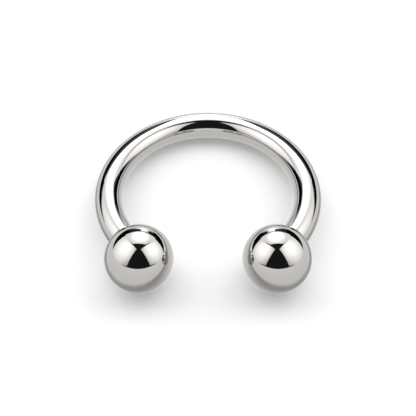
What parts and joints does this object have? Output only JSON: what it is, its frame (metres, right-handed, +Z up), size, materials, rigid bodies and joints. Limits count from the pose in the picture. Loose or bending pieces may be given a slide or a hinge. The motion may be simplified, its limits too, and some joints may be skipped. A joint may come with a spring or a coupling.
{
  "type": "horseshoe barbell",
  "caption": "Open ring of round polished wire for a piercing, with a smooth ball screwed on each end.",
  "frame": {"origin": "on the surface that the piece rests on, below the middle of its box", "axes": "+Z up, +X from the left ball to the right ball, +Y from the balls to the back of the ring"},
  "size_m": [0.0104, 0.0104, 0.003],
  "materials": {
    "bar_steel": "mirror-polished surgical steel wire",
    "ball_steel": "mirror-polished surgical steel ball"
  },
  "bodies": {
    "bar": {"curved_bar": "bar_steel"},
    "left_end": {"ball_left": "ball_steel"},
    "right_end": {"ball_right": "ball_steel"}
  },
  "joints": [
    {"name": "ball_left_off", "type": "slide", "parent": "bar", "child": "left_end", "axis": [0.5664, -0.8196, 0.0859], "range_m": [0, 0.0016]},
    {"name": "ball_right_off", "type": "slide", "parent": "bar", "child": "right_end", "axis": [-0.5664, -0.8196, 0.0859], "range_m": [0, 0.0016]}
  ]
}
